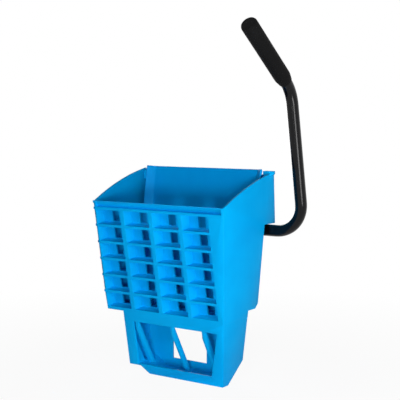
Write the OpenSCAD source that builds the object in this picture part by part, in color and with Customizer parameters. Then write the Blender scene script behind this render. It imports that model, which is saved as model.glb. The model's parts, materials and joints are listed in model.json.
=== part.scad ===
// Side press mop wringer: a waffle fronted basket on a stand. A bent tube handle turns
// two pinions, and they swing a hinged press plate against the front wall.
// Millimetres. X runs to the right, Y to the rear, Z up. The origin is on the floor,
// under the middle of the front rim and a little ahead of the stand's rear wall.

/* [Basket] */
// Width of the basket across the front rim
basket_w = 302; // [290:1:320]
// Height of the front rim above the floor
rim_z = 340; // [332:1:350]
// Distance of the front rim ahead of the origin
rim_y = 90; // [86:1:96]
// Height of the basket from its left shoulder to the front rim
basket_h = 217; // [210:1:224]
// Rise of the mouth from the front rim to its rear end
mouth_rise = 57; // [50:1:60]
// Bow of the mouth's side edges above a straight line
mouth_bow = 7; // [5:1:12]
// Lean of the front face, its foot further back, in degrees
front_lean = 10.2; // [9:0.2:11]
// Draft of the right wall, its foot further in, in degrees
right_draft = 6.9; // [6:0.1:7.5]
// Distance that the front rim flares out over the wall below it
rim_flare = 9.5; // [6:0.5:10]
// Thickness of the flared rim
rim_t = 4.5; // [3:0.5:6]
// Height of the flared rim's outer edge
rim_lip = 1; // [0.5:0.5:3]
// Thickness of the basket's walls
wall_t = 4; // [3:0.5:5]
// Thickness of the basket's floor
floor_t = 5; // [4:0.5:7]
// Width of the left shoulder, which rests on a bucket's side rim
side_shoulder_w = 42; // [36:1:46]
// Height of the rear shoulder, which rests on a bucket's end rim, above the left one
rear_step = 13; // [10:1:18]
// Distance of the cheeks' lower rear corner behind the back wall
cheek_over = 8; // [5:1:12]
// Cut of the cheeks' lower rear corner
cheek_cut = 9; // [5:1:12]
// Distance of the hood's rear corner behind the tube's axis
hood_over = 18; // [15:1:22]
// Gap between the hood's lower edge and the tube below it
hood_gap = 1.5; // [1:0.5:4]
// Width of the small lug on the right cheek's rear corner
lug_w = 17; // [12:1:18]
// Length of that lug from front to rear
lug_l = 10; // [8:1:12]
// Height of that lug above the mouth's rear end
lug_over = 2; // [1:0.5:4]
// Depth of that lug below the mouth's rear end
lug_drop = 10; // [6:1:12]
// Distance that the lug stands out past the right wall
lug_out = 4; // [2:0.5:6]
// Distance of that lug ahead of the mouth's rear end
lug_in = 3; // [2:0.5:5]

/* [Waffle front] */
// Columns of pockets
pocket_cols = 4; // [3:1:4]
// Rows of pockets
pocket_rows = 6; // [4:1:6]
// Width of the upright ribs between columns
col_rib = 9; // [8:1:14]
// Width of the level ribs between rows
row_rib = 5; // [4:0.5:7]
// Distance of the first column from the left edge
left_margin = 6; // [5:0.5:9]
// Distance of the last column's rib from the right edge
right_margin = 28; // [24:1:36]
// Distance of the last row's rib above the left shoulder, down the face
foot_margin = 1.3; // [1:0.1:4]
// Distance of the first row below the rim, down the face
top_margin = 17.6; // [15:0.2:19]
// Depth of a pocket
pocket_depth = 20; // [16:1:22]
// Slope of a pocket's left side, across the front
pocket_slope = 3; // [2:1:6]
// Width of the drain slot in each pocket
drain_w = 17; // [14:1:27]
// Distance of the drain slot from the level ribs above and below it
drain_edge = 1; // [1:0.5:5]
// Height of the squeezing ridges inside the front wall
ridge_h = 5; // [3:1:7]
// Width of a squeezing ridge
ridge_w = 6; // [4:1:7]
// Squeezing ridges for each column of pockets
ridges_per_col = 2; // [1:1:2]
// Height of the rib ends on the left wall
side_rib_h = 3; // [2:0.5:4]
// Length of the ribs on the left wall
side_rib_l = 96; // [60:1:100]

/* [Basket floor] */
// Drain slots in the floor
floor_slots = 8; // [4:1:9]
// Width of the floor left between two slots
floor_rib = 7.5; // [5:0.5:12]
// Depth of the floor left at both ends of a slot
floor_margin = 13; // [10:1:18]

/* [Stand] */
// Distance of the stand's rear wall behind the origin
stand_back = 33; // [30:1:36]
// Height of the stand's top above the left shoulder, let into the basket's underside
stand_in = 1; // [0.5:0.5:1.5]
// Thickness of the stand's walls
stand_t = 5; // [4:0.5:6]
// Thickness of the stand's floor
tray_t = 6; // [5:0.5:8]
// Width of the left leg at the front
left_leg_w = 23; // [20:1:28]
// Width of the right leg at the front, at the floor
right_leg_w = 24; // [18:1:28]
// Widening of the front window from its lower to its upper right corner
window_flare = 22; // [12:1:26]
// Height of the bottom rail under the front window
front_sill = 18; // [14:1:22]
// Depth of the rail over the front window
head_rail = 19; // [16:1:24]
// Width of the solid strip at the left of the rear window
rear_strip = 62; // [50:1:70]
// Width of the solid strip at the right of the rear window, at the floor
rear_right_strip = 76; // [66:1:86]
// Height of the bottom rail under the rear window
rear_sill = 22; // [18:1:26]
// Depth of the rail over the rear window
rear_head = 23; // [20:1:30]
// Width of the cut upper right corner of the rear window
rear_corner_w = 14; // [8:1:24]
// Height of that cut corner
rear_corner_h = 16; // [8:1:24]
// Distance of the outer braces inside the front window's sides
brace_in = 8; // [2:0.5:12]
// Distance of the middle brace to the right of the wringer's middle
brace_mid = 6; // [0:1:10]
// Width of a slanted brace
brace_w = 8; // [6:0.5:10]
// Depth of a slanted brace
brace_d = 9; // [7:0.5:12]
// Distance of a brace's foot ahead of the rear wall
brace_foot = 15; // [10:1:20]
// Thickness of the web beside the left leg
web_t = 4; // [3:0.5:6]
// Slot between that web and the brace behind it
web_slot = 3; // [2:0.5:5]
// Step of that web behind the front window's side
web_step = 1; // [0.5:0.5:2]
// Height of the left foot's raised corner
foot_raise = 14; // [8:1:16]
// Length of the left foot's raised corner
foot_raise_l = 27; // [20:1:34]
// Length of the slope beside it
foot_slope = 20; // [14:1:26]
// Length of the cut at the right rear heel, along the floor
heel_l = 44; // [30:1:46]
// Height of the cut at the right rear heel
heel_h = 40; // [30:1:50]
// Width of the cut at the right rear heel, in from the right side
heel_w = 34; // [20:1:40]
// Width of the tabs that take the screws into the basket
tab_w = 20; // [18:1:24]
// Thickness of those tabs
tab_t = 6; // [5:0.5:8]

/* [Press plate] */
// Thickness of the press plate
plate_t = 4; // [3:0.5:5]
// Lean of the press plate when it is open, its top further back, in degrees
plate_lean = 8.5; // [7.5:0.1:8.8]
// Height of the press plate's top edge above the mouth's rear end
plate_over = 3; // [1:1:8]
// Distance of the press plate's face ahead of its hinge knuckles
plate_lead = 1; // [0.5:0.5:2]
// Gap between the plate's outer knuckles and the hinge bosses
side_gap = 7; // [5:0.5:10]
// Distance of the press plate's left fold from the left wall
left_fold_in = 33; // [30:1:36]
// Distance of the press plate's right fold from the right wall
right_fold_in = 22; // [20:1:36]
// Width of the plate's turned-in side wings
wing_w = 19; // [16:1:24]
// Turn of those wings towards the front, in degrees
wing_turn = 40; // [30:1:45]
// Cut of the plate's top corners
plate_corner = 8; // [6:1:16]
// Width of the stiffening ribs behind the plate
plate_rib_w = 4; // [3:0.5:6]
// Depth of the stiffening ribs behind the plate
plate_rib_d = 7; // [4:0.5:8]
// Length of the stiffening ribs behind the plate
plate_rib_l = 84; // [60:1:90]

/* [Plate hinge] */
// Distance of the hinge's axis behind the origin
hinge_y = 32; // [30:0.5:34]
// Diameter of the hinge rod
rod_d = 10; // [8:0.5:11]
// Diameter of the hinge knuckles
knuckle_d = 20; // [18:0.5:22]
// Length of a hinge knuckle
knuckle_l = 24; // [18:1:28]
// Gap between the sectors' bosses and the ledge below them
hinge_gap = 3.6; // [3:0.2:5]
// Wall of the bushes in the knuckles
hinge_bush_t = 2; // [1.5:0.25:2.5]
// Thickness of a hinge ear
ear_t = 8; // [6:1:10]
// Length of the hinge bosses inside the side walls
boss_l = 14; // [10:1:16]
// Diameter of the cap on the rod's left end
cap_d = 20; // [16:1:24]
// Thickness of the end of that cap
cap_t = 2; // [1.5:0.5:3]
// Length of the rod inside that cap
cap_grip = 5; // [3:0.5:7]

/* [Gears] */
// Gear module
gear_module = 2.5; // [2.4:0.05:2.55]
// Teeth of a pinion
pinion_teeth = 17; // [16:1:18]
// Teeth of a sector, counted round a whole circle
sector_teeth = 92; // [88:1:94]
// Pressure angle in degrees
pressure_angle = 25; // [22:1:27]
// Play between meshing teeth, along the pitch circle
tooth_play = 0.5; // [0.3:0.05:0.8]
// Lean of the line from the hinge up to the tube, back from upright, in degrees
mesh_lean = 20.2; // [19:0.1:21]
// Width of a sector
sector_t = 10; // [8:1:12]
// Width of a pinion's teeth
pinion_t = 14; // [12:1:16]
// Length of a pinion's hub
hub_l = 12; // [10:1:14]
// Wall of a pinion's hub round the tube
hub_t = 5.5; // [4:0.5:6.5]
// Diameter of a pinion's cross pin
pin_d = 5; // [4:0.5:6]
// Diameter of a sector's boss round the hinge rod
sector_boss_d = 26; // [20:1:28]
// Width of a sector's foot on the press plate
foot_w = 26; // [22:1:30]
// Thickness of a sector's foot
foot_t = 5; // [4:0.5:5.5]
// Distance of a sector's foot above the hinge, along the plate
foot_z = 24; // [20:1:28]
// Length of a sector's foot, along the plate
foot_l = 66; // [50:1:72]
// Diameter of the window in a sector's web
web_hole_d = 26; // [16:1:30]
// Turn of the handle from open to pressed, in degrees
handle_travel = 105; // [80:1:110]

/* [Handle] */
// Outside diameter of the handle tube
tube_d = 22.2; // [20:0.1:23]
// Wall of the handle tube
tube_wall = 1.6; // [1.2:0.1:2.5]
// Distance of the tube's axis behind the back wall
shaft_off = 21; // [20:0.5:23]
// Distance of the upright outside the basket's front right corner
upright_off = 66; // [64:1:78]
// Bend radius where the cross run turns up
low_bend_r = 58; // [45:1:62]
// Length of the upright, from the cross run to the upper bend's corner
upright_len = 266; // [220:1:300]
// Forward lean of the upright in degrees
upright_lean = 11.2; // [6:0.2:16]
// Radius of the upper bend
top_bend_r = 68; // [50:1:80]
// Forward lean of the grip in degrees
grip_lean = 54; // [40:1:65]
// Length from the upper bend's corner to the grip's end
grip_reach = 182; // [150:1:200]
// Reduction of the tube's radius inside the grip, which seats against its step
swage = 0.6; // [0.4:0.1:0.8]
// Diameter of the grip
grip_d = 30; // [27:0.5:34]
// Thickness of the grip's closed end
grip_end_t = 6; // [4:0.5:10]
// Rounding of the grip's closed end
grip_round = 4; // [2:0.5:8]
// Diameter of the grip's open end, which tapers down to the tube
grip_neck_d = 25; // [24:0.5:27]
// Length of that taper
grip_taper_l = 14; // [8:1:24]

/* [Bearings] */
// Width of a bearing block
bearing_w = 16; // [12:1:18]
// Wall of a bearing bush
bush_t = 2.5; // [2:0.25:3]
// Width of a bearing bush's flange
bush_flange_w = 2.8; // [2:0.2:3.4]
// Thickness of a bearing bush's flange
bush_flange_t = 2; // [1.5:0.25:2.5]
// Wall of a bearing block round its bush
bearing_wall = 5; // [4:0.5:6]
// Thickness of a bearing block's foot
bearing_foot_t = 8; // [6:0.5:8.5]
// Width of the collars on each side of the left bearing
collar_w = 9; // [7:0.5:10]
// Wall of a collar
collar_t = 5; // [4:0.5:6]
// Diameter of a collar's set screw
set_screw_d = 4; // [3:0.5:5]
// Length of the tube past the left collar
tube_tail = 6; // [4:1:10]
// Length of the plug inside the tube's end
plug_l = 14; // [8:1:20]
// Thickness of the plug's head
plug_t = 3; // [2:0.5:4]

/* [Rear cover] */
// Thickness of the rear cover
cover_t = 3.5; // [3:0.5:4]
// Room round the gears inside the housing
housing_gap = 4; // [3:0.5:6]
// Height of the flange that joins the housing to the back wall
flange_h = 15; // [13:1:18]
// Distance of the cover's top edge below the mouth's rear end
cover_drop = 5; // [4:1:8]
// Height of the top rail behind the press plate
rail_h = 17; // [15:1:20]
// Least depth of the top rail
rail_d = 5.5; // [5:0.5:7]
// Diameter of the rubber bumpers
bumper_d = 16; // [12:1:16]
// Length of the bumpers between the top rail and the open press plate
bumper_l = 3.5; // [3:0.5:5]
// Rounding radius of the bumpers' faces
bumper_r = 14; // [12:1:18]

/* [Screws] */
// Diameter of the screws
screw_d = 5; // [4:0.5:5.5]
// Diameter of the screw heads
screw_head_d = 9.5; // [8:0.5:10]
// Height of the screw heads
screw_head_h = 3; // [2:0.25:3.5]
// Length of the screws in the basket floor above the floor itself
stand_screw_l = 7; // [5:1:9]
// Wall of the screw bosses
screw_boss_t = 4; // [3:0.5:5]

/* [Fits] */
// Radial clearance of a turning fit
run_gap = 0.06; // [0.04:0.01:0.09]
// Radial clearance of a seated fit
seat_gap = 0.05; // [0.03:0.01:0.08]
// Gap between the open press plate and its bumpers
rest_gap = 0.3; // [0.2:0.05:0.5]
// Gap between parts that pass each other
pass_gap = 2; // [1.5:0.5:3]
// Play of the tube endways between its collars, at each side of the bearing
end_play = 0.4; // [0.3:0.1:0.6]
// Gap between the cover and the cheeks beside it
cover_gap = 0.5; // [0.3:0.1:1]

/* [Hidden] */
$fn = 64;

// Overshoot of a cut past the face that it opens
cut = 1;
// Reach of a cut that goes right through the part
far = 400;
// Colours
blue = [0.0, 0.60, 0.90];
black = [0.06, 0.06, 0.07];
rubber = [0.10, 0.10, 0.10];
steel = [0.72, 0.73, 0.75];
nylon = [0.90, 0.90, 0.86];

// Basket
left_edge = -basket_w / 2;
left_face = left_edge + side_rib_h;
left_inner = left_face + wall_t;
side_shoulder_z = rim_z - basket_h;
rear_shoulder_z = side_shoulder_z + rear_step;
basket_floor = side_shoulder_z + floor_t;
ledge_floor = rear_shoulder_z + floor_t;
mouth_z = rim_z + mouth_rise;
front_t = pocket_depth + wall_t;
rim_down = top_margin - row_rib;
col_pitch = (basket_w - left_margin - right_margin) / pocket_cols;
row_pitch = (basket_h / cos(front_lean) - top_margin - foot_margin) / pocket_rows;
pocket_w = col_pitch - col_rib;
pocket_h = row_pitch - row_rib;
tube_r = tube_d / 2;
screw_r = screw_d / 2;
screw_head_r = screw_head_d / 2;

// Gears, from the plate's hinge up to the tube
pinion_r = gear_module * pinion_teeth / 2;
sector_r = gear_module * sector_teeth / 2;
tooth_root = 1.25 * gear_module;
pinion_tip = pinion_r + gear_module;
sector_tip = sector_r + gear_module;
sector_root = sector_r - tooth_root;
hinge_z = ledge_floor + sector_boss_d / 2 + hinge_gap;
shaft_y = hundredth(hinge_y + (pinion_r + sector_r) * sin(mesh_lean));
shaft_z = hundredth(hinge_z + (pinion_r + sector_r) * cos(mesh_lean));
tooth_step = 360 / sector_teeth;
plate_travel = handle_travel * pinion_teeth / sector_teeth;
teeth_ahead = 2;
teeth_behind = ceil(plate_travel / tooth_step) + 2;
tail_lean = mesh_lean + (teeth_behind + 0.25) * tooth_step;
// Lead of a sector's web ahead of the plate's own direction, in degrees
web_lead = 2.5;

// Press plate, placed from the hinge with its front face ahead of the knuckles
plate_front = -knuckle_d / 2 - plate_lead;
plate_back = plate_front + plate_t;
plate_foot = -knuckle_d / 2;
plate_h = (mouth_z + plate_over - hinge_z) / cos(plate_lean);
// Step behind the plate where a wing leaves it
fold_step = 0.6;

// Top rail, bumpers and the mouth's rear end, from the open plate's back
rail_z = mouth_z - cover_drop - rail_h;
bumper_z = rail_z + rail_h / 2;
rest_y = hinge_y + (plate_back + (bumper_z - hinge_z) * sin(plate_lean)) / cos(plate_lean);
rail_front = hundredth(rest_y + bumper_l);
mouth_back = rail_front + rail_d + cover_t;

// Back wall, cheeks and hood, from the tube
back_y = shaft_y - shaft_off;
back_inner = back_y - wall_t;
cheek_back = back_y + cheek_over;
hood_back = shaft_y + hood_over;
hood_z = shaft_z + tube_r + hood_gap;

// Places along the hinge, from the right wall in to the middle
knuckle_x = hundredth(right_inner(hinge_z) - boss_l - side_gap - knuckle_l / 2);
gear_x = knuckle_x - knuckle_l / 2 - pass_gap - foot_w / 2;
ear_x = (knuckle_l / 2 + gear_x - foot_w / 2) / 2;

// Places along the tube, from the gears out to the bearings
housing_w = 2 * (gear_x + pinion_t / 2 + hub_l + pass_gap + cover_t);
bearing_x = housing_w / 2 + pass_gap + collar_w + end_play + bearing_w / 2;
collar_out_x = -bearing_x - bearing_w / 2 - bush_flange_t - end_play - collar_w;
collar_in_x = -bearing_x + bearing_w / 2 + end_play;
tube_start = collar_out_x - tube_tail;

// Bearings
bush_r = tube_r + run_gap + bush_t;
bearing_r = bush_r + seat_gap + bearing_wall;
bearing_screw_z = bearing_r + screw_head_r + pass_gap;
bearing_foot = bearing_screw_z + screw_head_r;
back_top = shaft_z + bearing_foot + wall_t;
collar_r = tube_r + seat_gap + collar_t;

// Bushes in the plate's knuckles
hinge_bush_r = rod_d / 2 + run_gap + hinge_bush_t;

// Rear cover
hood_top = [mouth_back, mouth_z];
hood_foot = [hood_back, hood_z];
hood_len = norm(hood_foot - hood_top);
hood_dir = (hood_foot - hood_top) / hood_len;
hood_in = [hood_dir[1], -hood_dir[0]];
housing_top_z = shaft_z + pinion_tip + housing_gap + cover_t;
housing_drop = (mouth_z - housing_top_z) / -hood_dir[1];
tail_y = hinge_y + sector_tip * sin(tail_lean);
tail_z = hinge_z + sector_root * cos(tail_lean);
housing_back = max(tail_y, shaft_y + pinion_tip) + housing_gap + cover_t;
housing_foot_z = hinge_z + (back_y - hinge_y) / tan(tail_lean) - housing_gap - cover_t;
cover_left = left_inner + cover_gap;
bumper_x = -fold_left() - bumper_d / 2;

// Handle
upright_x = basket_w / 2 + upright_off;
top_bend = grip_lean - upright_lean;
top_tangent = top_bend_r * tan(top_bend / 2);
upright_l = hundredth(upright_len - low_bend_r - top_tangent);
tube_bore_r = tube_r - tube_wall;
grip_len = grip_reach - top_tangent;
// Length over which the reduced end runs back into the bend
swage_l = 3;

// Stand
stand_left = basket_w / 2 - side_shoulder_w;
stand_top = side_shoulder_z + stand_in;
window_left = -stand_left + left_leg_w;
window_right = right_x(0) - right_leg_w;
window_top = side_shoulder_z - head_rail;
screw_reach = floor_t - stand_in + stand_screw_l;
stand_screw_x = [-stand_left + stand_t + tab_w / 2, right_x(0) - stand_t - tab_w / 2];
stand_screw_y = [
    front_inner(basket_floor) + screw_d + screw_boss_t,
    stand_back - stand_t - tab_w / 2
];

// Length to the nearest hundredth, so that faces placed from it meet exactly
function hundredth(length) = round(100 * length) / 100;

// Front face's distance along Y at a height
function front_y(z) = -rim_y + (rim_z - z) * tan(front_lean);

// Inside of the front wall along Y at a height
function front_inner(z) = front_y(z) + front_t / cos(front_lean);

// Point in the front wall, in from the front face and down from the rim
function front_at(inward, down) = [
    -rim_y + inward * cos(front_lean) + down * sin(front_lean),
    rim_z + inward * sin(front_lean) - down * cos(front_lean)
];

// Right wall's outer face along X at a height
function right_x(z) = basket_w / 2 - (rim_z - z) * tan(right_draft);

// Right wall's inner face along X at a height
function right_inner(z) = right_x(z) - wall_t / cos(right_draft);

// Point on the hood, down from the mouth's rear end and in from its outer face
function hood_at(down, inward) = hood_top + down * hood_dir + inward * hood_in;

// Point at a distance and a lean back from upright, about a centre
function leaning(centre, r, lean) = centre + r * [sin(lean), cos(lean)];

// Unit vector, and the vector to its left
function unit(v) = v / norm(v);
function left_of(v) = [-v[1], v[0]];

// Path moved to its left by a distance, with mitred corners
function moved_path(path, d) = [
    for (i = [0 : len(path) - 1])
        let (
            before = left_of(unit(path[max(i, 1)] - path[max(i, 1) - 1])),
            after = left_of(unit(path[min(i, len(path) - 2) + 1] - path[min(i, len(path) - 2)]))
        )
        path[i] + d * (before + after) / (1 + before * after)
];

// Closed outline of a wall of one thickness, to the left of a path
function wall_outline(path, t) = let (inside = moved_path(path, t))
    concat(path, [for (i = [len(path) - 1 : -1 : 0]) inside[i]]);

// Involute of an angle, in degrees
function involute(a) = tan(a) * 180 / PI - a;

// Half the angle that a tooth takes up at a radius
function half_tooth(r, pitch_r, teeth) =
    90 / teeth - tooth_play / 4 / pitch_r * 180 / PI
    + involute(pressure_angle) - involute(acos(min(1, pitch_r * cos(pressure_angle) / r)));

// Radii at which a tooth's flank is drawn
flank_steps = 5;
function flank_radii(pitch_r) = let (
        low = max(pitch_r * cos(pressure_angle), pitch_r - tooth_root),
        high = pitch_r + gear_module
    )
    [for (i = [0 : flank_steps]) low + (high - low) * i / flank_steps];

// One tooth's outline about a centre, standing at a lean
function tooth(centre, pitch_r, teeth, lean) = let (
        radii = flank_radii(pitch_r),
        root = pitch_r - tooth_root,
        root_half = half_tooth(radii[0], pitch_r, teeth)
    )
    concat(
        [leaning(centre, root, lean - root_half)],
        [for (r = radii) leaning(centre, r, lean - half_tooth(r, pitch_r, teeth))],
        [for (i = [flank_steps : -1 : 0])
            leaning(centre, radii[i], lean + half_tooth(radii[i], pitch_r, teeth))],
        [leaning(centre, root, lean + root_half)]
    );

// Lists joined end to end
function joined(lists) = [for (list = lists) for (item = list) item];

// Side view outline drawn in Y and Z, made a solid along X
module along_x(from, to) {
    translate([from, 0, 0])
        rotate([90, 0, 90])
            linear_extrude(to - from)
                children();
}

// Front view outline drawn in X and Z, made a solid along Y
module along_y(from, to) {
    translate([0, to, 0])
        rotate([90, 0, 0])
            linear_extrude(to - from)
                children();
}

// Round bar along X about an axis
module bar_x(y, z, r, from, to) {
    translate([from, y, z])
        rotate([0, 90, 0])
            cylinder(r = r, h = to - from);
}

// Frame on the front face: X along the rim, Y into the wall, Z up the face
module on_front() {
    translate([0, -rim_y, rim_z])
        rotate([front_lean, 0, 0])
            children();
}

// Frame on the press plate: X along the hinge, Y to its rear, Z up the plate
module on_plate() {
    translate([0, hinge_y, hinge_z])
        rotate([-plate_lean, 0, 0])
            children();
}

// Screw with its head's seat at the origin, its head up and its shank down
module screw(shank_l, d = screw_d, head_d = screw_head_d, head_h = screw_head_h) {
    cylinder(d = head_d, h = head_h);
    translate([0, 0, -shank_l])
        cylinder(d = d, h = shank_l);
}

// Hole for a screw's shank, down from its seat
module screw_hole(depth) {
    translate([0, 0, -depth])
        cylinder(r = screw_r + seat_gap, h = depth + cut);
}

// Circle through the front rim and the mouth's rear end, bowed upwards
module mouth_disc() {
    front = [-rim_y, rim_z];
    chord = norm(hood_top - front);
    r = (chord ^ 2 / 4 + mouth_bow ^ 2) / (2 * mouth_bow);
    up = left_of(unit(hood_top - front));
    translate((front + hood_top) / 2 + up * (mouth_bow - r))
        circle(r, $fn = 180);
}

// Side outline of the basket with its cheeks and hood
module cheek_outline() {
    intersection() {
        mouth_disc();
        polygon([
            [front_y(side_shoulder_z), side_shoulder_z],
            [stand_back, side_shoulder_z],
            [stand_back, rear_shoulder_z],
            [cheek_back - cheek_cut, rear_shoulder_z],
            [cheek_back, rear_shoulder_z + cheek_cut],
            [back_y, hood_z],
            hood_foot,
            hood_top - hood_dir * mouth_rise,
            [front_y(mouth_z + mouth_rise), mouth_z + mouth_rise]
        ]);
    }
}

// Side outline of the space inside the basket
module inside_outline() {
    polygon([
        [front_inner(basket_floor), basket_floor],
        [stand_back - wall_t, basket_floor],
        [stand_back - wall_t, ledge_floor],
        [back_inner, ledge_floor],
        [back_inner, back_top],
        [far, back_top],
        [far, mouth_z + mouth_rise],
        [-far, mouth_z + mouth_rise],
        [-far, rim_z],
        [front_at(rim_t, 0)[0], rim_z],
        front_at(rim_flare + rim_t, rim_down),
        front_at(front_t, rim_down)
    ]);
}

// Space inside the basket's walls
module basket_space() {
    top = mouth_z + mouth_rise;
    intersection() {
        along_x(left_inner, basket_w)
            inside_outline();
        along_y(-far, far)
            polygon([
                [left_inner, 0],
                [right_inner(0), 0],
                [right_inner(top), top],
                [left_inner, top]
            ]);
    }
}

// Basket's outside, with the back wall's top raised between the cheeks
module basket_outside() {
    top = mouth_z + mouth_rise;
    intersection() {
        along_x(left_face, basket_w)
            cheek_outline();
        along_y(-far, far)
            polygon([
                [left_face, 0],
                [right_x(0), 0],
                [right_x(top), top],
                [left_face, top]
            ]);
    }
}

// Places of the pockets' upper left corners on the front face
module at_pockets() {
    for (col = [0 : pocket_cols - 1])
        for (row = [0 : pocket_rows - 1])
            translate([left_edge + left_margin + col * col_pitch, 0, -top_margin - row * row_pitch])
                children();
}

// Pockets in the front face
module pockets() {
    on_front()
        at_pockets()
            translate([0, 0, -pocket_h])
                linear_extrude(pocket_h)
                    polygon([
                        [0, -cut],
                        [pocket_w, -cut],
                        [pocket_w, pocket_depth],
                        [pocket_slope, pocket_depth],
                        [0, 0]
                    ]);
}

// Groove under the front rim, which leaves it flared
module rim_groove() {
    on_front()
        along_x(left_inner, basket_w / 2 - 2 * wall_t)
            polygon([
                [-cut, -rim_lip],
                [0, -rim_lip],
                [rim_flare, -rim_down],
                [-cut, -rim_down]
            ]);
}

// Drain slots through the skin behind the pockets
module pocket_drains() {
    on_front()
        at_pockets()
            translate([
                (pocket_w + pocket_slope - drain_w) / 2,
                pocket_depth - cut,
                drain_edge - pocket_h
            ])
                cube([drain_w, wall_t + 2 * cut, pocket_h - 2 * drain_edge]);
}

// Upright ridges that the mop is squeezed against
module squeeze_ridges() {
    ridge_pitch = col_pitch / ridges_per_col;
    first = left_edge + left_margin + (pocket_w + pocket_slope + ridge_pitch) / 2;
    intersection() {
        basket_space();
        on_front()
            for (i = [-1 : pocket_cols * ridges_per_col - 2])
                translate([first + i * ridge_pitch - ridge_w / 2, front_t - cut, -rim_z])
                    cube([ridge_w, ridge_h + cut, rim_z - top_margin]);
    }
}

// Level ribs on the left wall, in line with the rim and with the ribs of the front face
module side_ribs() {
    downs = concat([row_rib], [for (row = [0 : pocket_rows - 1]) top_margin + row * row_pitch]);
    on_front()
        for (down = downs)
            translate([left_edge, 0, -down])
                cube([side_rib_h + cut, side_rib_l, row_rib]);
}

// Slots in the basket's floor
module floor_drains() {
    first = -stand_left + stand_t + tab_w;
    step = (stand_screw_x[1] - tab_w / 2 - first) / floor_slots;
    front = front_inner(basket_floor);
    rear = stand_back - wall_t;
    for (i = [0 : floor_slots - 1])
        translate([first + i * step + floor_rib / 2, front + floor_margin, 0])
            cube([step - floor_rib, rear - front - 2 * floor_margin, basket_floor + cut]);
}

// Ears that carry the hinge rod between the knuckles
module hinge_ears() {
    for (side = [-1, 1])
        along_x(side * ear_x - ear_t / 2, side * ear_x + ear_t / 2) {
            translate([hinge_y, hinge_z])
                circle(d = knuckle_d);
            translate([hinge_y - knuckle_d / 2, side_shoulder_z + floor_t / 2])
                square([knuckle_d, hinge_z - side_shoulder_z - floor_t / 2]);
        }
}

// Bosses inside the side walls for the hinge rod's ends
module hinge_bosses() {
    boss_r = knuckle_d / 2;
    bar_x(hinge_y, hinge_z, boss_r, left_face + wall_t / 2, left_inner + boss_l);
    bar_x(hinge_y, hinge_z, boss_r, right_inner(hinge_z) - boss_l, right_x(hinge_z) - wall_t / 2);
}

// Rail across the top rear, between the cheeks
module top_rail() {
    low = hood_at(cover_drop + rail_h, cover_t);
    high = hood_at(cover_drop, cover_t);
    intersection() {
        along_x(left_face, basket_w)
            polygon([low, high, [rail_front, high[1]], [rail_front, low[1]]]);
        basket_outside();
    }
}

// Back wall above the cheeks' own edge, which carries the bearing blocks
module back_wall() {
    intersection() {
        along_x(left_face, basket_w)
            translate([back_inner, rear_shoulder_z])
                square([wall_t, back_top - rear_shoulder_z]);
        along_y(-far, far)
            polygon([
                [left_face, 0],
                [right_x(0), 0],
                [right_x(back_top), back_top],
                [left_face, back_top]
            ]);
    }
}

// Room behind the back wall, between the cheeks
module rear_space() {
    top = mouth_z + mouth_rise;
    intersection() {
        along_x(left_inner, basket_w)
            translate([back_y, ledge_floor])
                square([far, top - ledge_floor]);
        along_y(-far, far)
            polygon([
                [left_inner, 0],
                [right_inner(0), 0],
                [right_inner(top), top],
                [left_inner, top]
            ]);
    }
}

// Slots in the back wall that the sectors and pinions reach through
module gear_slots() {
    slot_w = max(sector_t, pinion_t) + 2 * pass_gap + hub_l;
    low = hinge_z + (back_inner - hinge_y) / tan(tail_lean) - housing_gap;
    for (side = [-1, 1])
        translate([side * (gear_x + hub_l / 2) - slot_w / 2, back_inner - cut, low])
            cube([slot_w, wall_t + 2 * cut, back_top - low + cut]);
}

// Bosses on the floor that take the stand's screws
module floor_bosses() {
    at_stand_screws()
        cylinder(r = screw_r + screw_boss_t, h = screw_reach + cut);
}

// Seat in the basket's underside that the stand's top fits into
module stand_seat() {
    translate([-stand_left - seat_gap, -far, 0])
        cube([far, 2 * far, stand_top]);
}

// Small lug on the right cheek's rear corner, which stands out past the wall
module corner_lug() {
    low = mouth_z - lug_drop;
    top = mouth_z + lug_over;
    out = right_x(mouth_z) + lug_out;
    along_y(mouth_back - lug_in - lug_l, mouth_back - lug_in)
        polygon([
            [out - lug_out - lug_w, low],
            [right_x(low) - wall_t / 2, low],
            [out, low + lug_out + wall_t / 2],
            [out, top],
            [out - lug_out - lug_w, top]
        ]);
}

module basket_shell() {
    color(blue)
        difference() {
            union() {
                difference() {
                    union() {
                        basket_outside();
                        side_ribs();
                    }
                    basket_space();
                    rear_space();
                    pockets();
                    rim_groove();
                }
                back_wall();
                squeeze_ridges();
                hinge_ears();
                hinge_bosses();
                top_rail();
                floor_bosses();
                corner_lug();
            }
            pocket_drains();
            floor_drains();
            gear_slots();
            rod_bore();
            stand_seat();
            at_stand_screws()
                translate([0, 0, screw_reach])
                    screw_hole(screw_reach + cut);
            at_cover_screws()
                screw_hole(cover_t + wall_t + cut);
            at_bearing_screws()
                screw_hole(bearing_foot_t + wall_t + cut);
            bumper_stems(seat_gap);
        }
}

// Bore for the hinge rod, open at the left and closed at the right
module rod_bore() {
    bar_x(hinge_y, hinge_z, rod_d / 2 + seat_gap, left_edge - cut, rod_end());
}

// Right end of the hinge rod, inside the right wall's boss
function rod_end() = right_inner(hinge_z - knuckle_d / 2);

// Slope that the right rear heel is cut to, moved up by a distance
module heel_slope(lift) {
    rise = heel_h / heel_l;
    foot = stand_back - heel_l;
    along_x(right_x(0) - heel_w, basket_w)
        polygon([
            [foot - far, lift - far * rise],
            [stand_back + far, heel_h + lift + far * rise],
            [stand_back + far, lift - far * rise]
        ]);
}

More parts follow.
